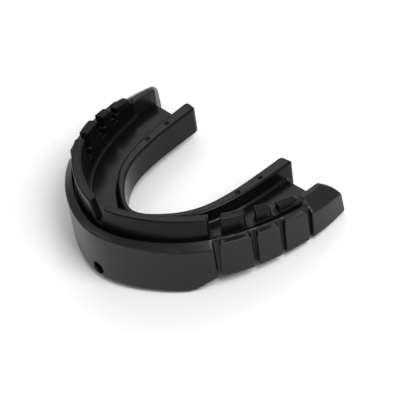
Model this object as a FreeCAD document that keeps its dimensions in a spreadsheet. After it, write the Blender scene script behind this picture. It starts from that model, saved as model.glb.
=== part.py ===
import FreeCAD, Part
import Sketcher
import math
import os
from FreeCAD import Vector, Placement, Rotation

# Upper-arch mouthguard for contact sports, of the kind worn over dental braces.
# Frame: +X to the wearer's left arm of the arch, +Y to the rear (back teeth),
# -Y to the lips, +Z up (gum side). z = 0 is the bottom of the front lip.
# A tough outer shell carries a softer liner; the labial wall of the liner is cut
# into two front wings and three fins a side that bend outward on living hinges.

doc = FreeCAD.newDocument("mouthguard")

# ----------------------------------------------------------------- sizes (mm)
sheet = doc.addObject("Spreadsheet::Sheet", "Sizes")
SIZES = [
    ("lip_drop", 3.0, "front lip below the underside of the arms"),
    ("lip_wall", 3.0, "thickness of the front lip, outside to inside"),
    ("recess_deep", 1.5, "shallow recess in the underside"),
    ("recess_edge", 1.6, "rib left round the recess on the tongue side and rear"),
    ("base_top", 6.5, "top of the shell's base plate"),
    ("floor_top", 8.0, "floor of the tooth channel"),
    ("step_top", 11.0, "bottom of the long groove behind the rim"),
    ("rim_top_front", 13, "rim height at the front"),
    ("rim_top_rear", 12.27, "rim height beside the last slot"),
    ("block_top_front", 12.4, "end block height beside the last slot"),
    ("block_top_rear", 11.4, "end block height at the rear"),
    ("rim_thick", 1.9, "rim, outside to inside"),
    ("groove_wide", 0.6, "long groove between rim and liner"),
    ("wall_thick", 2.1, "labial wall of the liner"),
    ("rim_chamfer", 1.2, "bevel on the rim's outer top edge"),
    ("block_bevel_wide", 3.2, "bevel on the end block, measured inward"),
    ("block_bevel_high", 2.5, "bevel on the end block, measured down"),
    ("web_top", 12.6, "top of the low web the fins stand on"),
    ("gap_floor", 11.9, "floor of the gap in front of the end block"),
    ("gap_deep", 10.8, "floor of the gaps between wings and fins, behind the web"),
    ("hinge_gap", 0.06, "clearance under each fin at rest"),
    ("wing_top", 18.6, "top of the front wings at the middle"),
    ("wing_top_rear", 17.6, "top of the front wings at the first slot"),
    ("fin_one_front", 17.1, "first fin, front end of its top"),
    ("fin_one_rear", 16.4, "first fin, rear end of its top"),
    ("fin_two_front", 16.0, "second fin, front end of its top"),
    ("fin_two_rear", 15.1, "second fin, rear end of its top"),
    ("fin_three_front", 14.55, "third fin, front end of its top"),
    ("fin_three_rear", 13.15, "third fin, rear end of its top"),
    ("notch_low", 1.6, "width of the middle notch at the bottom"),
    ("notch_high", 4.2, "width of the middle notch at the top"),
    ("tongue_low", 4.6, "lower edge of the liner on the tongue side"),
    ("tongue_top_front", 11.0, "tongue-side rim at the front"),
    ("tongue_top_rear", 11.6, "tongue-side rim at the rear"),
    ("slot_high_wide", 1.35, "outer slot width at the top"),
    ("slot_low_wide", 0.9, "outer slot width at the bottom"),
    ("slot_deep", 1.2, "outer slot depth"),
    ("gap_one", 2.4, "gap between wing and first fin"),
    ("gap_two", 2.1, "gap between first and second fin"),
    ("gap_three", 1.8, "gap between second and third fin"),
    ("gap_four", 1.3, "gap between third fin and end block"),
    ("hole_radius", 1.5, "round hole through the front lip"),
    ("hole_height", 2.3, "hole centre above the bottom of the lip"),
    ("fin_round", 0.4, "rounded edges of fins and wings"),
    ("corner_round", 0.9, "upright rear outer corners"),
    ("settle", -0.69, "shift that puts the origin at the middle of the footprint"),
    ("dimple_radius", 0.4, "locating dimples on the tongue-side rim"),
    ("dimple_deep", 0.4, "depth of the dimples"),
]
row = 1
for alias, value, note in SIZES:
    sheet.set("A%d" % row, alias)
    sheet.set("B%d" % row, "%g" % value)
    sheet.set("C%d" % row, note)
    sheet.setAlias("B%d" % row, alias)
    row += 1

# Plan curves, right half, from the middle line to the rear: outer face of the
# shell, channel side and tongue side of the inner wall.
FACE = [(0.0, -22.03), (5.97, -20.99), (11.53, -18.55), (16.63, -15.24),
        (21.04, -11.06), (24.56, -6.11), (27.1, -0.59), (28.9, 5.23),
        (30.05, 11.2), (30.34, 17.27), (29.75, 23.3), (29.3, 26.5)]
CHANNEL = [(0.0, -11.8), (2.8, -11.0), (5.9, -9.1), (9.3, -6.5), (11.9, -3.5),
           (13.6, 0.0), (14.8, 4.0), (15.6, 8.0), (16.1, 12.4), (16.4, 17.0),
           (16.6, 21.0), (16.7, 25.0)]
TONGUE = [(0.0, -10.4), (2.6, -9.7), (5.2, -7.9), (7.9, -5.4), (10.1, -2.4),
          (11.6, 1.0), (12.5, 5.0), (13.05, 9.6), (13.3, 14.4), (13.5, 21.0),
          (13.55, 25.0)]
# Slots, right side: a point on the outer face and the point behind it in the
# middle of the liner's wall.
SLOTS = [((23.0, -7.8), (21.1, -5.8)), ((26.7, -0.5), (24.4, 1.1)),
         ((28.6, 5.7), (26.0, 6.5)), ((30.0, 12.6), (26.7, 13.1))]
REAR = ((30.0, 23.9), (13.4, 21.7))      # rear ends of the two walls
FLOOR_REAR = ((25.6, 19.5), (12.0, 19.3))   # the floor between them ends earlier
END_SLANT = ((25.6, 19.5), (28.3, 23.3))    # rear end of the cheek-side wall
for title, table in (("face", FACE), ("channel", CHANNEL), ("tongue", TONGUE)):
    for i, (px, py) in enumerate(table):
        for tag, value in (("across", px), ("along", py)):
            alias = "%s_%s_%d" % (title, tag, i)
            sheet.set("A%d" % row, alias)
            sheet.set("B%d" % row, "%g" % value)
            sheet.setAlias("B%d" % row, alias)
            row += 1
doc.recompute()


def size(alias):
    return float(sheet.get(alias))


def table(title, count):
    return [(size("%s_across_%d" % (title, i)), size("%s_along_%d" % (title, i)))
            for i in range(count)]


# ------------------------------------------------------------- plan geometry
def spline(points):
    curve = Part.BSplineCurve()
    curve.interpolate([Vector(p[0], p[1], 0) for p in points])
    return curve


def dense(half, inset=0.0):
    """Dense right-hand half of a plan curve, moved inward by inset."""
    full = [(-x, y) for x, y in reversed(half[1:])] + list(half)
    curve = spline(full)
    first, last = curve.FirstParameter, curve.LastParameter
    middle = (first + last) / 2.0
    out = []
    for i in range(1201):
        u = middle + (last - middle) * i / 1200.0
        p = curve.value(u)
        tangent = curve.tangent(u)[0]
        if i == 0:
            p, tangent = Vector(0, p.y, 0), Vector(1, 0, 0)
        out.append((p.x - tangent.y * inset, p.y + tangent.x * inset))
    return out


def side_of(p, line):
    (ax, ay), (bx, by) = line
    return (bx - ax) * (p[1] - ay) - (by - ay) * (p[0] - ax)


def cut(points, start=None, end=None, count=9):
    """Part of a dense curve between two lines, as count evenly spaced points."""
    def crossing(line):
        for i in range(len(points) - 1):
            a, b = side_of(points[i], line), side_of(points[i + 1], line)
            if a == 0 or (a < 0) != (b < 0):
                return i + a / (a - b)
        raise ValueError("line misses the curve")
    lo = crossing(start) if start else 0.0
    hi = crossing(end) if end else len(points) - 1.0

    def at(t):
        i = min(int(t), len(points) - 2)
        f = t - i
        return (points[i][0] * (1 - f) + points[i + 1][0] * f,
                points[i][1] * (1 - f) + points[i + 1][1] * f)
    return [at(lo + (hi - lo) * k / (count - 1.0)) for k in range(count)]


def shifted(line, distance):
    (ax, ay), (bx, by) = line
    length = math.hypot(bx - ax, by - ay)
    nx, ny = -(by - ay) / length, (bx - ax) / length
    return ((ax + nx * distance, ay + ny * distance),
            (bx + nx * distance, by + ny * distance))


def slot_line(i, distance):
    """Slot i's centre line moved to the rear (+) or the front (-)."""
    line = shifted(SLOTS[i], distance)
    probe = shifted(SLOTS[i], 1.0)
    if probe[0][1] < SLOTS[i][0][1]:
        line = shifted(SLOTS[i], -distance)
    return line


face_half = table("face", len(FACE))
channel_half = table("channel", len(CHANNEL))
tongue_half = table("tongue", len(TONGUE))
wall_out = size("rim_thick") + size("groove_wide")
wall_in = wall_out + size("wall_thick")
C_FACE = dense(face_half)
C_RIM = dense(face_half, size("rim_thick"))
C_MID_RIM = dense(face_half, size("rim_thick") / 2.0)
C_WALL_OUT = dense(face_half, wall_out)
C_WALL_IN = dense(face_half, wall_in)
C_LIP = dense(face_half, size("lip_wall"))
C_LIP_RAW = dense(face_half, size("lip_wall") + 0.6)    # trimmed by the recess
C_CHANNEL = dense(channel_half)
C_TONGUE = dense(tongue_half)


def mirrored(points):
    return [(-x, y) for x, y in reversed(points)]


def arch(points):
    """Whole arch from the right half."""
    return mirrored(points[1:]) + points


# ------------------------------------------------------------ modelling tools
def new_body(label):
    body = doc.addObject("PartDesign::Body", label)
    body.Label = label
    return body


def plane(body, role):
    for feature in body.Origin.OriginFeatures:
        if feature.Role == role:
            return feature
    raise ValueError(role)


def new_sketch(body, name, role, offset=None):
    sketch = body.newObject("Sketcher::SketchObject", name)
    sketch.AttachmentSupport = [(plane(body, role), "")]
    sketch.MapMode = "FlatFace"
    if offset is not None:
        sketch.AttachmentOffset = offset
    return sketch


def level(sketch, expression):
    sketch.setExpression(".AttachmentOffset.Base.z", expression)


def outline(sketch, outer, inner):
    """Closed loop: outer spline, rear end, inner spline, other end."""
    first = sketch.addGeometry(spline(outer), False)
    sketch.addGeometry(Part.LineSegment(Vector(outer[-1][0], outer[-1][1], 0),
                                        Vector(inner[-1][0], inner[-1][1], 0)), False)
    second = sketch.addGeometry(spline(inner), False)
    sketch.addGeometry(Part.LineSegment(Vector(inner[0][0], inner[0][1], 0),
                                        Vector(outer[0][0], outer[0][1], 0)), False)
    for geometry in (first, first + 1, second, second + 1):
        sketch.addConstraint(Sketcher.Constraint("Block", geometry))


def polygon(sketch, points):
    ids = []
    for i, p in enumerate(points):
        q = points[(i + 1) % len(points)]
        ids.append(sketch.addGeometry(
            Part.LineSegment(Vector(p[0], p[1], 0), Vector(q[0], q[1], 0)), False))
    for i in range(len(ids)):
        sketch.addConstraint(Sketcher.Constraint(
            "Coincident", ids[i], 2, ids[(i + 1) % len(ids)], 1))
    return ids


def pad(body, sketch, name, expression):
    feature = body.newObject("PartDesign::Pad", name)
    feature.Profile = sketch
    feature.Length = 1.0
    feature.setExpression("Length", expression)
    sketch.Visibility = False
    return feature


def pocket(body, sketch, name, expression=None, length=None, symmetric=False,
           backward=False):
    before = volume(body)
    feature = body.newObject("PartDesign::Pocket", name)
    feature.Profile = sketch
    feature.Length = length or 1.0
    if expression:
        feature.setExpression("Length", expression)
    if symmetric:
        if hasattr(feature, "SideType"):
            feature.SideType = "Symmetric"
        else:
            feature.Midplane = True
    feature.Reversed = backward
    doc.recompute()
    if feature.Shape.isNull() or not feature.isValid():
        raise RuntimeError("%s failed: %s, sketch %s" % (
            name, feature.getStatusString(), sketch.getStatusString()))
    after = feature.Shape.Volume
    if not after < before - 1e-4:
        raise RuntimeError("%s removed nothing (%g -> %g)" % (name, before, after))
    return feature


def volume(body):
    doc.recompute()
    return body.Shape.Volume


def wedge_cut(body, name, points, role="YZ_Plane", length=90.0):
    """Cut along a whole plane with a closed polygon drawn on it."""
    sketch = new_sketch(body, name + "_sketch", role)
    polygon(sketch, points)
    return pocket(body, sketch, name, length=length, symmetric=True)


def dress(body, kind, name, edges, alias, extra=None):
    """Fillet or chamfer with a bound size; edges are picked by a test."""
    doc.recompute()
    base = body.Tip
    names = ["Edge%d" % (i + 1) for i, e in enumerate(base.Shape.Edges) if edges(e)]
    if not names:
        raise RuntimeError("no edges for " + name)
    feature = body.newObject("PartDesign::" + kind, name)
    feature.Base = (base, names)
    if kind == "Fillet":
        feature.setExpression("Radius", "Sizes." + alias)
    elif extra:
        feature.ChamferType = "Two distances"
        feature.setExpression("Size", "Sizes." + alias)
        feature.setExpression("Size2", "Sizes." + extra)
    else:
        feature.setExpression("Size", "Sizes." + alias)
    doc.recompute()
    if feature.Shape.isNull() or not feature.Shape.isValid():
        raise RuntimeError("%s failed on %s: %s" % (name, names, feature.getStatusString()))
    return feature


def ends(edge):
    return [edge.valueAt(edge.FirstParameter), edge.valueAt(edge.LastParameter),
            edge.valueAt((edge.FirstParameter + edge.LastParameter) / 2.0)]


def near(point, curve, tolerance=0.03):
    x, y = abs(point.x), point.y
    best = 1e9
    for i in range(0, len(curve) - 1):
        ax, ay = curve[i]
        bx, by = curve[i + 1]
        dx, dy = bx - ax, by - ay
        t = max(0.0, min(1.0, ((x - ax) * dx + (y - ay) * dy) / (dx * dx + dy * dy)))
        best = min(best, math.hypot(ax + t * dx - x, ay + t * dy - y))
        if best < tolerance:
            return True
    return False


# ---------------------------------------------------------------- outer shell
shell = new_body("outer_shell")
arch_face = arch(cut(C_FACE, None, REAR, 13))
arch_rim = arch(cut(C_RIM, None, REAR, 13))
arch_wall_out = arch(cut(C_WALL_OUT, None, REAR, 13))
arch_wall_in = arch(cut(C_WALL_IN, None, REAR, 13))
arch_channel = arch(cut(C_CHANNEL, None, REAR, 13))
arch_tongue = arch(cut(C_TONGUE, None, REAR, 13))

s = new_sketch(shell, "rim_sketch", "XY_Plane")
outline(s, arch_face, arch_rim)
pad(shell, s, "rim_pad", "Sizes.rim_top_front + 0.01")
s = new_sketch(shell, "base_sketch", "XY_Plane")
level(s, "Sizes.lip_drop")
outline(s, arch_face, arch_channel)
pad(shell, s, "base_pad", "Sizes.base_top - Sizes.lip_drop")
s = new_sketch(shell, "step_sketch", "XY_Plane")
level(s, "Sizes.lip_drop")
outline(s, arch_face, arch_wall_out)
pad(shell, s, "step_pad", "Sizes.step_top - Sizes.lip_drop")
s = new_sketch(shell, "lip_sketch", "XY_Plane")
outline(s, arch_face, arch(cut(C_LIP_RAW, None, REAR, 13)))
pad(shell, s, "lip_pad", "Sizes.lip_drop + 0.5")
s = new_sketch(shell, "block_sketch", "XY_Plane")
level(s, "Sizes.lip_drop")
last = slot_line(3, 0.0)
for flip in (False, True):
    a, b = cut(C_MID_RIM, last, REAR, 7), cut(C_WALL_IN, last, REAR, 7)
    if flip:
        a, b = mirrored(a), mirrored(b)
    outline(s, a, b)
pad(shell, s, "block_pad", "Sizes.block_top_front - Sizes.lip_drop")

# Shallow recess under the base, leaving a lip in front and a rib elsewhere.
edge = size("recess_edge")
inner_rib = [(x, y) for x, y in dense(channel_half, -edge)]
s = new_sketch(shell, "recess_sketch", "XY_Plane")
level(s, "-1.0")
rear_in = shifted(FLOOR_REAR, -1.8)
if rear_in[0][1] > FLOOR_REAR[0][1]:
    rear_in = shifted(FLOOR_REAR, 1.8)
outline(s, arch(cut(C_LIP, None, rear_in, 13)), arch(cut(inner_rib, None, rear_in, 13)))
pocket(shell, s, "recess", expression="Sizes.lip_drop + Sizes.recess_deep + 1.0",
       backward=True)

# Rear end: the floor stops first, the cheek-side wall runs on with a slanted end.
for side, tag in ((1, "right"), (-1, "left")):
    s = new_sketch(shell, "rear_sketch_" + tag, "XY_Plane")
    level(s, "-1.0")
    polygon(s, [(side * x, y) for x, y in (
        FLOOR_REAR[1], END_SLANT[0], END_SLANT[1], (32.0, 23.9), (32.0, 28.0), (12.0, 28.0))])
    pocket(shell, s, "rear_end_" + tag, length=20.0, backward=True)

# Top line: the rim falls to the rear, the end blocks start a little higher.
y_front, y_slot, y_rear = -22.03, 12.7, 22.6
top = size("rim_top_front")
s = new_sketch(shell, "top_line_sketch", "YZ_Plane")
rim_line = Part.LineSegment(Vector(y_front - 1.0, top, 0),
                            Vector(y_slot, size("rim_top_rear"), 0))
s.addGeometry(rim_line, False)
corners = [(y_slot, size("rim_top_rear")), (y_slot, size("block_top_front")),
           (y_rear + 2.0, size("block_top_rear") - 0.2), (y_rear + 2.0, top + 3),
           (y_front - 1.0, top + 3), (y_front - 1.0, top)]
for i in range(len(corners) - 1):
    s.addGeometry(Part.LineSegment(Vector(corners[i][0], corners[i][1], 0),
                                   Vector(corners[i + 1][0], corners[i + 1][1], 0)), False)
pocket(shell, s, "top_line", length=90.0, symmetric=True)

# Underside: the lip ends in a soft step at each side, in front of the first slot.
s = new_sketch(shell, "under_sketch", "YZ_Plane")
drop = size("lip_drop")
step = Part.BSplineCurve()
step.interpolate([Vector(-13.2, 0.0, 0), Vector(-12.2, 0.25, 0), Vector(-11.0, 1.0, 0),
                  Vector(-9.9, 2.1, 0), Vector(-9.0, 2.75, 0), Vector(-7.9, drop, 0)])
s.addGeometry(step, False)
corners = [(-7.9, drop), (24.0, drop), (24.0, -2.0), (-13.2, -2.0), (-13.2, 0.0)]
for i in range(len(corners) - 1):
    s.addGeometry(Part.LineSegment(Vector(corners[i][0], corners[i][1], 0),
                                   Vector(corners[i + 1][0], corners[i + 1][1], 0)), False)
pocket(shell, s, "under_cut", length=90.0, symmetric=True)

# The end block's top rounds down to the rear.
s = new_sketch(shell, "end_round_sketch", "YZ_Plane")
rounding = Part.BSplineCurve()
rounding.interpolate([Vector(19.4, 12.6, 0), Vector(21.0, 11.75, 0), Vector(22.3, 10.6, 0),
                      Vector(23.2, 9.1, 0), Vector(24.2, 6.8, 0)])
s.addGeometry(rounding, False)
corners = [(24.2, 6.8), (27.0, 6.8), (27.0, 15.0), (19.4, 15.0), (19.4, 12.6)]
for i in range(len(corners) - 1):
    s.addGeometry(Part.LineSegment(Vector(corners[i][0], corners[i][1], 0),
                                   Vector(corners[i + 1][0], corners[i + 1][1], 0)), False)
pocket(shell, s, "end_round", length=90.0, symmetric=True)


# Bevels on the rim and on the end blocks.
def rim_edge(e):
    return (e.Length > 3 and all(near(p, C_FACE) and 11.2 < p.z < 13.6 for p in ends(e))
            and all(p.y < 13.2 for p in ends(e)))


def rear_corner(e):
    p = ends(e)
    return e.Length > 2 and all(math.hypot(q.x - p[0].x, q.y - p[0].y) < 0.01
                                and abs(q.x) > 29.0 and q.y > 21.0 for q in p)


dress(shell, "Fillet", "rear_corners", rear_corner, "corner_round")
dress(shell, "Chamfer", "rim_bevel", rim_edge, "rim_chamfer")
for side, tag in ((1, "right"), (-1, "left")):
    s = new_sketch(shell, "block_bevel_sketch_" + tag, "XZ_Plane",
                   Placement(Vector(0, 0, -y_slot), Rotation()))
    face_x, top_z = 30.3, size("block_top_front")
    wide, high = size("block_bevel_wide"), size("block_bevel_high")
    polygon(s, [(side * (face_x - wide), top_z + 0.02), (side * face_x, top_z - high),
                (side * (face_x + 0.2), top_z - high - 0.12),
                (side * (face_x + 0.2), top_z + 1.0), (side * (face_x - wide), top_z + 1.0)])
    pocket(shell, s, "block_bevel_" + tag, length=12.5)

# Outer slots, wider at the top, down to the lower edge.
for side, tag in ((1, "right"), (-1, "left")):
    for i in range(4):
        (ox, oy), (ix, iy) = SLOTS[i]
        length = math.hypot(ox - ix, oy - iy)
        nx, ny = side * (ox - ix) / length, (oy - iy) / length
        hit = cut(C_FACE, SLOTS[i], None, 2)[0]
        angle = math.degrees(math.atan2(ny, nx))
        out = 1.0
        px, py = side * hit[0] + nx * out, hit[1] + ny * out
        s = new_sketch(shell, "slot_sketch_%d_%s" % (i + 1, tag), "XZ_Plane",
                       Placement(Vector(px, 0.0, -py),
                                 Rotation(Vector(0, 1, 0), angle + 90.0)))
        ids = polygon(s, [(-0.25, 2.0), (0.25, 2.0), (0.55, 14.0), (-0.55, 14.0)])
        s.addConstraint(Sketcher.Constraint("Symmetric", ids[0], 1, ids[0], 2, -2))
        s.addConstraint(Sketcher.Constraint("Symmetric", ids[2], 2, ids[2], 1, -2))
        low = s.addConstraint(Sketcher.Constraint("DistanceX", ids[0], 1, ids[0], 2, 0.5))
        high = s.addConstraint(Sketcher.Constraint("DistanceX", ids[2], 2, ids[2], 1, 1.1))
        s.addConstraint(Sketcher.Constraint("DistanceY", -1, 1, ids[0], 1, 2.0))
        s.addConstraint(Sketcher.Constraint("DistanceY", -1, 1, ids[2], 1, 14.0))
        s.setExpression("Constraints[%d]" % low, "Sizes.slot_low_wide")
        s.setExpression("Constraints[%d]" % high, "Sizes.slot_high_wide")
        pocket(shell, s, "slot_%d_%s" % (i + 1, tag), expression="Sizes.slot_deep + %g" % out)

# Gap between the last fin and the end block, down to the web.
for side, tag in ((1, "right"), (-1, "left")):
    a, b = slot_line(3, -size("gap_four") / 2.0), slot_line(3, size("gap_four") / 2.0)
    mid_out = dense(face_half, wall_out - 0.62)
    mid_in = dense(face_half, wall_in + 0.6)
    quad = [cut(mid_out, a, None, 2)[0], cut(mid_out, b, None, 2)[0],
            cut(mid_in, b, None, 2)[0], cut(mid_in, a, None, 2)[0]]
    s = new_sketch(shell, "gap_sketch_" + tag, "XY_Plane")
    level(s, "Sizes.gap_floor")
    polygon(s, [(side * x, y) for x, y in quad])
    pocket(shell, s, "gap_cut_" + tag, length=4.0, backward=True)

# Round hole through the front lip.
s = new_sketch(shell, "hole_sketch", "XZ_Plane", Placement(Vector(0, 0, 23.0), Rotation()))
circle = s.addGeometry(Part.Circle(Vector(0, size("hole_height"), 0), Vector(0, 0, 1),
                                   size("hole_radius")), False)
s.addConstraint(Sketcher.Constraint("PointOnObject", circle, 3, -2))
h = s.addConstraint(Sketcher.Constraint("DistanceY", -1, 1, circle, 3, size("hole_height")))
r = s.addConstraint(Sketcher.Constraint("Radius", circle, size("hole_radius")))
s.setExpression("Constraints[%d]" % h, "Sizes.hole_height")
s.setExpression("Constraints[%d]" % r, "Sizes.hole_radius")
pocket(shell, s, "lip_hole", length=6.0)

# ---------------------------------------------------------------- inner liner
liner = new_body("inner_liner")
s = new_sketch(liner, "floor_sketch", "XY_Plane")
level(s, "Sizes.base_top")
outline(s, arch_wall_out, arch_tongue)
pad(liner, s, "floor_pad", "Sizes.floor_top - Sizes.base_top")
s = new_sketch(liner, "labial_sketch", "XY_Plane")
level(s, "Sizes.base_top")
outline(s, arch_wall_out, arch_wall_in)
pad(liner, s, "labial_pad", "Sizes.web_top - Sizes.base_top")
s = new_sketch(liner, "tongue_sketch", "XY_Plane")
level(s, "Sizes.tongue_low")
outline(s, arch_channel, arch_tongue)
pad(liner, s, "tongue_pad", "Sizes.tongue_top_rear - Sizes.tongue_low")

# The end blocks belong to the shell: leave their place free.
s = new_sketch(liner, "block_place_sketch", "XY_Plane")
level(s, "Sizes.base_top - 1.0")
outside = dense(face_half, wall_out - 0.8)
inside = dense(face_half, wall_in + 0.05)
for flip in (False, True):
    past = shifted(REAR, 1.0)
    if past[0][1] < REAR[0][1]:
        past = shifted(REAR, -1.0)
    a = cut(outside, last, past, 7)
    b = cut(inside, last, past, 7)
    if flip:
        a, b = mirrored(a), mirrored(b)
    outline(s, a, b)
pocket(liner, s, "block_place", length=12.0, backward=True)

# The channel floor ends before the two walls do.
for side, tag in ((1, "right"), (-1, "left")):
    s = new_sketch(liner, "floor_end_sketch_" + tag, "XY_Plane")
    level(s, "Sizes.tongue_low - 1.0")
    polygon(s, [(side * x, y) for x, y in (
        (16.5, 19.35), (25.6, 19.5), (30.0, 25.7), (30.0, 28.0), (16.5, 28.0))])
    pocket(liner, s, "floor_end_" + tag, length=12.0, backward=True)

# Gaps between wings and fins run down behind a narrow web, so each one flexes alone.
for side, tag in ((1, "right"), (-1, "left")):
    for i, alias in enumerate(("gap_one", "gap_two", "gap_three")):
        a = slot_line(i, -size(alias) / 2.0 + 0.1)
        b = slot_line(i, size(alias) / 2.0 - 0.1)
        mid_out = dense(face_half, wall_out + 0.6)
        mid_in = dense(face_half, wall_in + 0.6)
        quad = [cut(mid_out, a, None, 2)[0], cut(mid_out, b, None, 2)[0],
                cut(mid_in, b, None, 2)[0], cut(mid_in, a, None, 2)[0]]
        s = new_sketch(liner, "flex_gap_sketch_%d_%s" % (i + 1, tag), "XY_Plane")
        level(s, "Sizes.gap_deep")
        polygon(s, [(side * x, y) for x, y in quad])
        pocket(liner, s, "flex_gap_%d_%s" % (i + 1, tag), length=4.0, backward=True)

# The tongue-side rim rises slightly to the rear.
wedge_cut(liner, "tongue_line", [
    (-10.4 - 1.7, size("tongue_top_front")), (20.5, size("tongue_top_rear")),
    (20.5, 12.2), (-10.4 - 1.7, 12.2)], length=35.0)

# Small locating dimples on the tongue-side rim.
for side, tag in ((1, "right"), (-1, "left")):
    for i, (px, py) in enumerate(((14.3, 7.2), (14.75, 13.5))):
        s = new_sketch(liner, "dimple_sketch_%d_%s" % (i + 1, tag), "XY_Plane",
                       Placement(Vector(0, 0, 12.0), Rotation()))
        c = s.addGeometry(Part.Circle(Vector(side * px, py, 0), Vector(0, 0, 1), 0.4), False)
        r = s.addConstraint(Sketcher.Constraint("Radius", c, 0.4))
        s.setExpression("Constraints[%d]" % r, "Sizes.dimple_radius")
        pocket(liner, s, "dimple_%d_%s" % (i + 1, tag),
               length=12.0 - 11.35 + size("dimple_deep"))

# --------------------------------------------------------------- wings, fins
bodies = [shell, liner]
hinges = {}


def segment(label, side, start, end, top_points, count=7):
    """Upright piece of the liner's wall between two slot edges."""
    body = new_body(label)
    a, b = cut(C_WALL_OUT, start, end, count), cut(C_WALL_IN, start, end, count)
    if side < 0:
        a, b = [(-x, y) for x, y in a], [(-x, y) for x, y in b]
    s = new_sketch(body, label + "_sketch", "XY_Plane")
    level(s, "Sizes.web_top + Sizes.hinge_gap")
    outline(s, a, b)
    pad(body, s, label + "_pad", "Sizes.wing_top + 0.3 - Sizes.web_top - Sizes.hinge_gap")
    if top_points:
        wedge_cut(body, label + "_top", top_points)
    return body, a


def upper_edge(e):
    low = size("web_top") + size("hinge_gap")
    return not all(abs(p.z - low) < 0.01 for p in ends(e))


gaps = [size("gap_one"), size("gap_two"), size("gap_three"), size("gap_four")]
def top_line(y_a, z_a, y_b, z_b):
    """Wedge above a straight top, carried past both ends of the piece."""
    slope = (z_b - z_a) / (y_b - y_a)
    return [(y_a - 2.5, z_a - 2.5 * slope), (y_b + 2.5, z_b + 2.5 * slope),
            (y_b + 2.5, 22.0), (y_a - 2.5, 22.0)]


fin_tops = [top_line(-5.2, size("fin_one_front"), 0.6, size("fin_one_rear")),
            top_line(1.6, size("fin_two_front"), 6.4, size("fin_two_rear")),
            top_line(7.2, size("fin_three_front"), 13.2, size("fin_three_rear"))]
wing_line = top_line(-20.0, size("wing_top"), -7.0, size("wing_top_rear"))
half_low, half_high = size("notch_low") / 2.0, size("notch_high") / 2.0
for side, tag in ((1, "right"), (-1, "left")):
    middle = ((half_low, -30.0), (half_low, 0.0))
    body, edge_points = segment("front_wing_" + tag, side, middle,
                                slot_line(0, -gaps[0] / 2.0), wing_line, 11)
    s = new_sketch(body, "notch_sketch_" + tag, "XZ_Plane")
    polygon(s, [(side * (half_low - 0.6), 13.4), (side * half_low, 13.4),
                (side * half_high, 19.2), (side * (half_low - 0.6), 19.2)])
    pocket(body, s, "notch_" + tag, length=60.0, symmetric=True)
    dress(body, "Fillet", "wing_round_" + tag, upper_edge, "fin_round")
    bodies.append(body)
    hinges[body.Label] = edge_points
    for i in range(3):
        label = "fin_%d_%s" % (i + 1, tag)
        body, edge_points = segment(label, side, slot_line(i, gaps[i] / 2.0),
                                    slot_line(i + 1, -gaps[i + 1] / 2.0), fin_tops[i])
        dress(body, "Fillet", "fin_round_%d_%s" % (i + 1, tag), upper_edge, "fin_round")
        bodies.append(body)
        hinges[body.Label] = edge_points

for body in bodies:
    body.Placement = Placement(Vector(0, size("settle"), 0), Rotation())
doc.recompute()

# ------------------------------------------------------------ checks, export
for obj in doc.Objects:
    if "Invalid" in obj.State or "Error" in obj.State:
        raise RuntimeError("failed: %s %s" % (obj.Name, obj.State))
for body in bodies:
    shape = body.Shape
    if shape.isNull() or not shape.isValid() or len(shape.Solids) != 1:
        raise RuntimeError("bad shape: %s solids=%d" % (body.Label, len(shape.Solids)))

os.makedirs("parts", exist_ok=True)
for body in bodies:
    body.Shape.exportStep("parts/%s.step" % body.Label)
    box = body.Shape.BoundBox
    print("%-18s vol %8.2f  x %7.2f %7.2f  y %7.2f %7.2f  z %6.2f %6.2f" % (
        body.Label, body.Shape.Volume, box.XMin, box.XMax, box.YMin, box.YMax,
        box.ZMin, box.ZMax))

# Hinge lines: tangent to the outer foot of each wing or fin, across its middle.
for label, points in hinges.items():
    (ax, ay), (bx, by) = points[0], points[-1]
    dx, dy = bx - ax, by - ay
    length = math.hypot(dx, dy)
    dx, dy = dx / length, dy / length
    side = 1 if points[len(points) // 2][0] > 0 else -1
    nx, ny = (dy, -dx) if side > 0 else (-dy, dx)
    reach = max(p[0] * nx + p[1] * ny for p in points)
    mx, my = (ax + bx) / 2.0, (ay + by) / 2.0
    shift = reach - (mx * nx + my * ny)
    print("hinge %-18s pos (%.3f, %.3f, %.3f) axis (%.4f, %.4f, 0) out (%.4f, %.4f)" % (
        label, mx + nx * shift, my + ny * shift + size("settle"), size("web_top") + size("hinge_gap"),
        dx * side, dy * side, nx, ny))
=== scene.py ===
import math
import bpy
import numpy as np
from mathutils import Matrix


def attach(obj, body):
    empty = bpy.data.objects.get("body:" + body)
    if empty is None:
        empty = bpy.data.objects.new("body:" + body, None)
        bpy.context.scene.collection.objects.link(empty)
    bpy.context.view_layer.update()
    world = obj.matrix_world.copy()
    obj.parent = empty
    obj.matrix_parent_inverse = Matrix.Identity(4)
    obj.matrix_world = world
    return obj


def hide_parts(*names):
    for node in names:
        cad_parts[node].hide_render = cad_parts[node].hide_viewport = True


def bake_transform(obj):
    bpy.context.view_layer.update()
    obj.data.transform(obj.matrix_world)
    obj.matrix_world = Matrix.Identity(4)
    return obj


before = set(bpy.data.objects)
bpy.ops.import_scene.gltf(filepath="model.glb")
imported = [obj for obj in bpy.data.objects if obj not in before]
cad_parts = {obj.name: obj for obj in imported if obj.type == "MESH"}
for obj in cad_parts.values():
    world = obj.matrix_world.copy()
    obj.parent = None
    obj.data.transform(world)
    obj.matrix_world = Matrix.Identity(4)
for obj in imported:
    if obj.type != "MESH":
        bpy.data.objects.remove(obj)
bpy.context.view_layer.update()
import openvdb
from mathutils import Matrix, Vector


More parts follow.
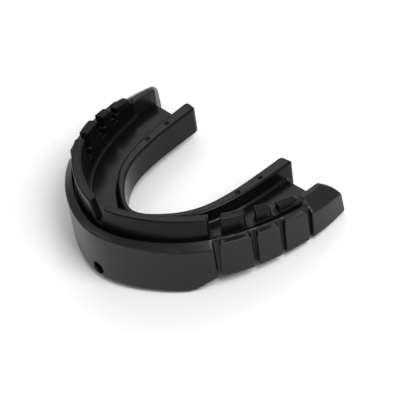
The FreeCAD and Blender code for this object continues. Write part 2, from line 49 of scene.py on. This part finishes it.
# ------------------------------------------------------------------ plan curves
# Right half of the arch in millimetres: outer face, channel side and tongue side
# of the inner wall. The left half is its mirror image.
FACE = [(0.0, -22.03), (5.97, -20.99), (11.53, -18.55), (16.63, -15.24),
        (21.04, -11.06), (24.56, -6.11), (27.1, -0.59), (28.9, 5.23),
        (30.05, 11.2), (30.34, 17.27), (29.75, 23.3), (29.3, 26.5)]
CHANNEL = [(0.0, -11.8), (2.8, -11.0), (5.9, -9.1), (9.3, -6.5), (11.9, -3.5),
           (13.6, 0.0), (14.8, 4.0), (15.6, 8.0), (16.1, 12.4), (16.4, 17.0),
           (16.6, 21.0), (16.7, 25.0)]
TONGUE = [(0.0, -10.4), (2.6, -9.7), (5.2, -7.9), (7.9, -5.4), (10.1, -2.4),
          (11.6, 1.0), (12.5, 5.0), (13.05, 9.6), (13.3, 14.4), (13.5, 21.0),
          (13.55, 25.0)]
SLOTS = [((23.0, -7.8), (21.1, -5.8)), ((26.7, -0.5), (24.4, 1.1)),
         ((28.6, 5.7), (26.0, 6.5)), ((30.0, 12.6), (26.7, 13.1))]
GAPS = (2.4, 2.1, 1.8, 1.3)
REAR = ((30.0, 23.9), (13.4, 21.7))
FLOOR_REAR = ((25.6, 19.5), (12.0, 19.3))
END_SLANT = ((25.6, 19.5), (28.3, 23.3))
SETTLE = -0.69
RIM, STEP, WALL = 1.9, 2.5, 4.6
WEB = 12.6


def spline(points, step=0.12):
    """Natural cubic through the mirrored points, sampled evenly; right half only,
    carried a little past the middle line."""
    p = np.array([(-x, y) for x, y in points[:0:-1]] + list(points), float)
    t = np.r_[0, np.cumsum(np.hypot(*np.diff(p, axis=0).T))]
    n = len(t)
    h = np.diff(t)
    a = np.zeros((n, n))
    a[0, 0] = a[-1, -1] = 1
    for i in range(1, n - 1):
        a[i, i - 1], a[i, i], a[i, i + 1] = h[i - 1], 2 * (h[i - 1] + h[i]), h[i]
    out = []
    u = np.arange(t[-1] / 2 - 3.0, t[-1], step)
    k = np.clip(np.searchsorted(t, u) - 1, 0, n - 2)
    for c in (0, 1):
        r = np.zeros(n)
        r[1:-1] = 6 * (np.diff(p[1:, c]) / h[1:] - np.diff(p[:-1, c]) / h[:-1])
        m = np.linalg.solve(a, r)
        d0, d1 = t[k + 1] - u, u - t[k]
        out.append((m[k] * d0 ** 3 + m[k + 1] * d1 ** 3) / (6 * h[k])
                   + (p[k, c] / h[k] - m[k] * h[k] / 6) * d0
                   + (p[k + 1, c] / h[k] - m[k + 1] * h[k] / 6) * d1)
    q = np.array(out).T
    tail = q[-1] + np.outer(np.arange(1, 40) * step, (q[-1] - q[-2]) / np.hypot(*(q[-1] - q[-2])))
    return np.vstack([q, tail])


def signed(curve, x, y):
    """Distance from a plan curve, positive towards the tongue."""
    px, py = x.ravel(), y.ravel()
    out = np.empty(px.size)
    a, b = curve[:-1], curve[1:]
    d = b - a
    ll = (d ** 2).sum(1)
    for s in range(0, px.size, 4000):
        qx, qy = px[s:s + 4000, None], py[s:s + 4000, None]
        w = np.clip(((qx - a[:, 0]) * d[:, 0] + (qy - a[:, 1]) * d[:, 1]) / ll, 0, 1)
        ex, ey = qx - a[:, 0] - w * d[:, 0], qy - a[:, 1] - w * d[:, 1]
        dist = ex ** 2 + ey ** 2
        k = dist.argmin(1)
        r = np.arange(len(k))
        cross = d[k, 0] * ey[r, k] - d[k, 1] * ex[r, k]
        out[s:s + 4000] = np.sqrt(dist[r, k]) * np.sign(cross)
    return out.reshape(x.shape)


def across(line, x, y, rearward=True):
    (ax, ay), (bx, by) = line
    n = math.hypot(bx - ax, by - ay)
    nx, ny = -(by - ay) / n, (bx - ax) / n
    if (ny < 0) == rearward:
        nx, ny = -nx, -ny
    return (x - ax) * nx + (y - ay) * ny


# ------------------------------------------------- solid fields, positive inside
def meet(r, *fields):
    """Intersection whose edges are rounded to radius r."""
    f = fields[0]
    for g in fields[1:]:
        f = (np.maximum(r, np.minimum(f, g))
             - np.sqrt(np.maximum(r - f, 0) ** 2 + np.maximum(r - g, 0) ** 2))
    return f


def join(r, *fields):
    """Union whose inner corners are filled to radius r."""
    f = fields[0]
    for g in fields[1:]:
        f = (np.minimum(-r, np.maximum(f, g))
             + np.sqrt(np.maximum(r + f, 0) ** 2 + np.maximum(r + g, 0) ** 2))
    return f


def less(r, f, g):
    """f with g taken away, the new edge rounded to radius r."""
    return meet(r, f, -g)


CURVES = {"face": spline(FACE), "channel": spline(CHANNEL), "tongue": spline(TONGUE)}


class Grid:
    """Plan fields on a regular grid over x >= 0 (or any box), z as a third axis."""

    def __init__(self, lo, hi, step):
        self.step = step
        self.lo = np.array(lo, float)
        self.n = [int(math.ceil((hi[i] - lo[i]) / step)) + 1 for i in range(3)]
        self.x = lo[0] + np.arange(self.n[0]) * step
        self.y = lo[1] + np.arange(self.n[1]) * step
        z = lo[2] + np.arange(self.n[2]) * step
        gx, gy = np.meshgrid(self.x, self.y, indexing="ij")
        f = np.float32

        def flat(v):
            return v.astype(f)[:, :, None]
        self.X, self.Y = flat(gx), flat(gy)
        self.Z = z.astype(f)[None, None, :]
        self.D = flat(signed(CURVES["face"], gx, gy))
        self.C = flat(signed(CURVES["channel"], gx, gy))
        self.T = flat(signed(CURVES["tongue"], gx, gy))
        self.E = flat(-across(REAR, gx, gy))
        self.F = flat(-across(FLOOR_REAR, gx, gy))
        (ax, ay), (bx, by) = END_SLANT
        n = math.hypot(bx - ax, by - ay)
        self.S = flat(((gx - ax) * (by - ay) - (gy - ay) * (bx - ax)) / n)
        self.U = [flat(across(s, gx, gy)) for s in SLOTS]


def lerp(y, y0, v0, y1, v1):
    return v0 + (v1 - v0) * np.clip((y - y0) / (y1 - y0), 0, 1)


def ease(y, y0, v0, y1, v1):
    t = np.clip((y - y0) / (y1 - y0), 0, 1)
    return v0 + (v1 - v0) * t * t * (3 - 2 * t)


def rim_line(Y):
    """Height of the rim's inner edge, front to rear."""
    return 13.05 - 1.15 * np.clip((Y + 5.0) / 17.5, 0, 1.2)


def shell_field(g):
    D, Y, Z, X = g.D, g.Y, g.Z, g.X
    rim_top = rim_line(Y)
    block_top = lerp(Y, 12.7, 12.4, 22.6, 11.4)
    low = ease(Y, -13.6, 0.0, -7.7, 3.0)
    bottom = (Z - low) * lerp(Y, -14, 1.0, -13, 0.93)
    end = meet(0.8, g.E - 0.15, join(1.5, g.F, g.S))
    # outer rim, one slope from its inner edge, shallow at the front
    fall = lerp(Y, -22.0, 0.45, -13.5, 1.75)
    slope_rim = (D * fall + (rim_top - Z) * 2.0 - 1.9 * fall) / np.sqrt(4.0 + fall ** 2)
    rim = meet(0.14, D, rim_top - Z, slope_rim)
    rim = meet(0.22, rim, RIM - D)
    rim = meet(1.6, rim, end)
    behind = 11.2 + np.clip((g.U[0] + 0.2) / 0.5, 0, 1) * (rim_top - 0.45 - 11.2)
    step = meet(0.15, meet(0.3, D, STEP - D), behind - Z, end)
    base = meet(0.25, meet(0.3, D, -g.C), 6.5 - Z)
    base = meet(1.3, base, end)
    # end block: one wide slope, the top running down to the rear end
    wide, high = 3.2, 2.4
    slope = (D * high + (block_top - Z) * wide - wide * high) / math.hypot(wide, high)
    u4 = g.U[3]
    lean = (22.6 - Y + (9.0 - Z) * 0.15) / 1.01
    tail = meet(3.2, block_top - Z, lean)
    block = meet(0.3, D, tail, slope)
    block = meet(0.4, block, WALL - D)
    block = meet(1.7, block, end)
    # the front of the block stands behind the last gap, its foot closes the channel
    foot = meet(0.25, D, WALL - D, 11.95 - Z, u4 + 0.1, end)
    foot = meet(0.3, foot, slope, tail)
    upper = meet(0.35, block, u4 - GAPS[3] / 2)
    rim = meet(0.3, rim, 0.15 - u4)
    solid = np.minimum(join(0.2, rim, step, base), D)
    solid = meet(0.3, solid, np.maximum(slope, 0.6 - u4))
    solid = meet(0.6, solid, np.maximum(tail, 8.0 - u4))
    solid = np.minimum(join(0.2, solid, foot, upper), D)
    # underside: soft lower edge, shallow recess behind the lip
    solid = meet(0.8, solid, bottom)
    inside_lip = meet(0.5, D - 3.0, 3.05 - Z)
    solid = less(0.35, solid, inside_lip)
    recess = meet(0.5, D - 3.0, -g.C - 1.6, g.F - 1.8, 4.5 - Z)
    solid = less(0.3, solid, recess)
    # four slots in the outer face, wider at the top
    half = 0.45 + (Z - 2.0) * (0.225 / 12.0)
    for u in g.U:
        flare = np.clip((Z - (rim_top - 1.6)) / 1.6, 0, 1) ** 2 * 0.45
        slot = meet(0.15, half + flare - np.abs(u), 1.25 + flare - D)
        solid = less(0.3, solid, slot)
    # round hole through the lip
    hole = 1.5 - np.sqrt(X ** 2 + (Z - 2.3) ** 2)
    hole = np.where(Y < -15.0, hole, -5.0)
    solid = less(0.18, solid, hole)
    return solid


def liner_field(g):
    D, Y, Z = g.D, g.Y, g.Z
    u4 = g.U[3]
    tongue_top = lerp(Y, -12.0, 11.0, 20.5, 11.6)
    thick_in = g.C                      # positive inside the wall
    wall = meet(0.55, thick_in, -g.T, tongue_top - Z)
    wall = meet(0.3, wall, Z - 4.6)
    wall = meet(1.3, wall, g.E)
    floor = meet(0.05, D - STEP, -g.T - 0.4, 8.0 - Z, Z - 6.5)
    floor = meet(0.35, floor, meet(0.2, g.E - 0.15, join(0.6, g.F, g.S)) - 0.1)
    floor = less(0.05, floor, meet(0.05, WALL + 0.04 - D, u4))
    labial = meet(0.25, D - STEP, WALL - D, WEB - Z)
    for u, gap in zip(g.U[:3], GAPS[:3]):
        hollow = meet(0.2, gap / 2 - 0.1 - np.abs(u), D - STEP - 0.6, Z - 10.8)
        labial = less(0.15, labial, hollow)
    labial = meet(0.05, labial, Z - 6.5, 0.06 - u4)
    solid = np.minimum(join(0.9, floor, wall, labial), -g.T)
    solid = np.minimum(solid, np.maximum(Z - 6.5, thick_in + 0.3))
    # narrow saddle between the two wings
    saddle = meet(0.5, 0.95 - np.abs(g.X), D - STEP, WALL - D, 13.9 - Z)
    saddle = meet(0.1, saddle, Z - 9.0)
    solid = join(0.35, solid, saddle)
    for px, py in ((14.3, 7.2), (14.75, 13.5)):
        r = np.sqrt((g.X - px) ** 2 + (Y - py) ** 2)
        solid = less(0.1, solid, meet(0.1, 0.42 - r, Z - tongue_top + 0.45))
    return solid


TOPS = (((-20.0, 18.6), (-7.0, 17.6)), ((-5.2, 17.1), (0.6, 16.4)),
        ((1.6, 16.0), (6.4, 15.1)), ((7.2, 14.55), (13.2, 13.15)))


def stand_field(g, i):
    """i = 0 is a front wing, 1 to 3 are fins."""
    D, Y, Z, X = g.D, g.Y, g.Z, g.X
    slab = meet(0.3, D - STEP, WALL - D)
    (ya, za), (yb, zb) = TOPS[i]
    top = za + (Y - ya) * ((zb - za) / (yb - ya)) - Z
    if i == 0:
        mid = X - (0.8 + (Z - 13.4) * (1.3 / 5.3))
        edge = meet(0.55, slab, mid * 0.97, -g.U[0] - GAPS[0] / 2)
    else:
        edge = meet(0.5, slab, g.U[i - 1] - GAPS[i - 1] / 2, -g.U[i] - GAPS[i] / 2)
    body = meet(0.32, edge, top)
    # spread foot that runs into the web below
    foot = meet(0.1, meet(0.3, D - STEP, WALL - D), WEB + 0.02 - Z)
    body = join(0.35, body, foot)
    reach = edge + 0.5
    body = np.minimum(body, reach)
    return np.minimum(body, Z - (WEB - 0.5))


def mesh_from(field, grid, name, mirror=None):
    """Surface of a field as a smooth mesh, in metres. mirror: None keeps the grid,
    'both' adds the left half, 'left' flips it."""
    a = (-field).astype(np.float32)
    a = np.clip(a, -0.6, 0.6)
    lo = grid.lo.copy()
    if mirror == "both":
        a = np.concatenate([a[:0:-1], a], axis=0)
        lo[0] = -(grid.lo[0] + (grid.n[0] - 1) * grid.step)
    a[0], a[-1] = 0.6, 0.6
    a[:, 0], a[:, -1] = 0.6, 0.6
    a[:, :, 0], a[:, :, -1] = 0.6, 0.6
    vdb = openvdb.FloatGrid(0.6)
    vdb.copyFromArray(np.ascontiguousarray(a))
    points, tris, quads = vdb.convertToPolygons(isovalue=0.0, adaptivity=0.0)
    co = (points * grid.step + lo + np.array([0.0, SETTLE, 0.0])) / 1000.0
    flip = mirror == "left"
    if flip:
        co[:, 0] *= -1
    faces = [tuple(int(v) for v in q) for q in tris] + [tuple(int(v) for v in q) for q in quads]
    mesh = bpy.data.meshes.new(name)
    mesh.from_pydata([tuple(p) for p in co.tolist()], [], faces)
    mesh.validate()
    mesh.update()
    o = bpy.data.objects.new(name, mesh)
    bpy.context.scene.collection.objects.link(o)
    # outward faces: a closed solid has a positive signed volume
    v = co[np.array([f[0] for f in faces])]
    w = co[np.array([f[1] for f in faces])]
    x = co[np.array([f[2] for f in faces])]
    if np.einsum("ij,ij->i", v, np.cross(w, x)).sum() < 0:
        mesh.flip_normals()
    for p in mesh.polygons:
        p.use_smooth = True
    return o


STEP_BIG = 0.16
big = Grid((0.0, -23.2, -0.8), (31.5, 25.2, 14.4), STEP_BIG)
shell = mesh_from(shell_field(big), big, "shell_moulding", "both")
liner = mesh_from(liner_field(big), big, "liner_moulding", "both")

stands = []
boxes = [((0.0, -21.5, 11.4), (22.4, -4.0, 19.4)), ((19.0, -7.0, 11.4), (26.0, 2.6, 19.0)),
         ((21.8, 0.0, 11.4), (28.0, 7.6, 17.4)), ((23.4, 5.4, 11.4), (29.4, 14.2, 16.0))]
for i, (lo, hi) in enumerate(boxes):
    g = Grid(lo, hi, 0.13 if i == 0 else 0.1)
    f = stand_field(g, i)
    for side in ("right", "left"):
        node = ("front_wing_" if i == 0 else "fin_%d_" % i) + side
        o = mesh_from(f, g, node + "_moulding", "left" if side == "left" else None)
        stands.append((node, o))

# -------------------------------------------------------------------- materials


def rubber(name, base, rough, rough_spread, bump, grain, ior):
    m = bpy.data.materials.new(name)
    m.use_nodes = True
    nt = m.node_tree
    n, l = nt.nodes, nt.links
    b = n["Principled BSDF"]
    b.inputs["Base Color"].default_value = (*base, 1)
    b.inputs["Metallic"].default_value = 0.0
    b.inputs["IOR"].default_value = ior
    tc = n.new("ShaderNodeTexCoord")
    fine = n.new("ShaderNodeTexNoise")
    fine.inputs["Scale"].default_value = grain
    fine.inputs["Detail"].default_value = 3.0
    broad = n.new("ShaderNodeTexNoise")
    broad.inputs["Scale"].default_value = 90.0
    broad.inputs["Detail"].default_value = 4.0
    for t in (fine, broad):
        l.new(tc.outputs["Object"], t.inputs["Vector"])
    spread = n.new("ShaderNodeMapRange")
    spread.inputs["From Min"].default_value = 0.3
    spread.inputs["From Max"].default_value = 0.7
    spread.inputs["To Min"].default_value = rough - rough_spread
    spread.inputs["To Max"].default_value = rough + rough_spread
    l.new(broad.outputs["Fac"], spread.inputs["Value"])
    l.new(spread.outputs["Result"], b.inputs["Roughness"])
    h = n.new("ShaderNodeBump")
    h.inputs["Strength"].default_value = bump
    h.inputs["Distance"].default_value = 0.00002
    l.new(fine.outputs["Fac"], h.inputs["Height"])
    l.new(h.outputs["Normal"], b.inputs["Normal"])
    return m


black_shell = rubber("black_shell", (0.009, 0.009, 0.0095), 0.31, 0.03, 0.30, 2600.0, 1.36)
# Both mouldings are black plastic. The liner's base colour is set darker than the shell's as
# painted shade, so the channel floor and inner faces that lie in shade render darker.
liner_black_painted_shade = rubber("liner_black_painted_shade", (0.004, 0.004, 0.0045), 0.24, 0.03, 0.22, 3000.0, 1.25)
shell.data.materials.append(black_shell)
liner.data.materials.append(liner_black_painted_shade)
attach(shell, "guard")
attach(liner, "guard")
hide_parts("outer_shell")
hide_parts("inner_liner")
for node, o in stands:
    o.data.materials.append(liner_black_painted_shade)
    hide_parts(node)
    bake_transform(o)

# ------------------------------------------------------------- floor and lights
floor_mesh = bpy.data.meshes.new("floor")
s = 3.0
floor_mesh.from_pydata([(-s, -s, 0), (s, -s, 0), (s, s, 0), (-s, s, 0)], [], [(0, 1, 2, 3)])
floor = bpy.data.objects.new("floor", floor_mesh)
bpy.context.scene.collection.objects.link(floor)
tilt = math.atan2(0.0030, 0.0363)
floor.rotation_euler = (tilt, 0, 0)
floor.location = (0, 0, 0.0143 * math.tan(tilt) - 0.00012)
pale = bpy.data.materials.new("pale_floor")
pale.use_nodes = True
pale.node_tree.nodes["Principled BSDF"].inputs["Base Color"].default_value = (0.95, 0.95, 0.95, 1)
pale.node_tree.nodes["Principled BSDF"].inputs["Roughness"].default_value = 0.9
pale.node_tree.nodes["Principled BSDF"].inputs["Specular IOR Level"].default_value = 0.0
floor_mesh.materials.append(pale)

world = bpy.data.worlds.new("studio")
bpy.context.scene.world = world
world.use_nodes = True
world.node_tree.nodes["Background"].inputs["Color"].default_value = (1, 1, 1, 1)
world.node_tree.nodes["Background"].inputs["Strength"].default_value = 0.45


def area(name, where, aim, size, power):
    d = bpy.data.lights.new(name, "AREA")
    d.shape = "RECTANGLE"
    d.size, d.size_y = size
    d.energy = power
    o = bpy.data.objects.new(name, d)
    bpy.context.scene.collection.objects.link(o)
    o.location = where
    o.rotation_euler = (Vector(aim) - Vector(where)).to_track_quat("-Z", "Y").to_euler()
    return o


area("top_box", (-0.38, 0.34, 0.62), (0.0, 0.0, 0.01), (0.50, 0.40), 1.3)
area("key_box", (0.45, 0.02, 0.62), (0.0, 0.0, 0.01), (0.40, 0.40), 4.5)

# ----------------------------------------------------------------------- camera
cam = bpy.data.cameras.new("camera")
cam.lens = 147.33
cam.sensor_width = 36.0
cam.clip_start, cam.clip_end = 0.01, 20.0
co = bpy.data.objects.new("camera", cam)
bpy.context.scene.collection.objects.link(co)
back = Vector((0.58745, -0.46202, 0.66441)).normalized()
up = Vector((-0.42094, 0.52675, 0.73848))
right = up.cross(back).normalized()
up = back.cross(right).normalized()
target = Vector((0.0076592, 0.0013077, 0.009061))
place = Matrix((right, up, back)).transposed().to_4x4()
place.translation = target + back * 0.35072
co.matrix_world = place
bpy.context.scene.camera = co
bpy.context.scene.view_settings.view_transform = "Standard"
